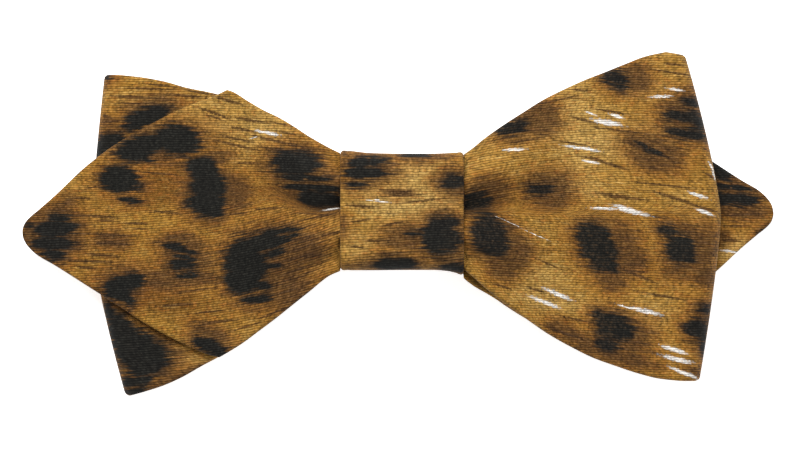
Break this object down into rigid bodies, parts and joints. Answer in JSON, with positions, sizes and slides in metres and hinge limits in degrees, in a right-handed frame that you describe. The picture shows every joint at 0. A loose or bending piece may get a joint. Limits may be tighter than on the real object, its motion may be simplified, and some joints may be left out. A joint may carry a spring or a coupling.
{
  "type": "diamond point bow tie",
  "caption": "Pre-tied bow tie of printed cotton: crossed strips, each with a pointed end and a folded loop, held by a knot band with a clip behind.",
  "frame": {"origin": "on the surface that the bow lies on, under the middle of the knot, on the outer face of the clip's tongue", "axes": "+X along the bow towards the end whose front is a folded loop, +Y up the bow as worn, +Z from its back to its front"},
  "size_m": [0.1256, 0.0571, 0.0172],
  "materials": {
    "printed_cotton": "woven cotton, tan with a printed leopard pattern in dark brown and charcoal, matt",
    "clip_steel": "plain bent sheet steel, satin"
  },
  "bodies": {
    "root": {"front_bow": "printed_cotton", "back_bow": "printed_cotton", "knot_band": "printed_cotton", "collar_clip": "clip_steel"}
  },
  "joints": []
}
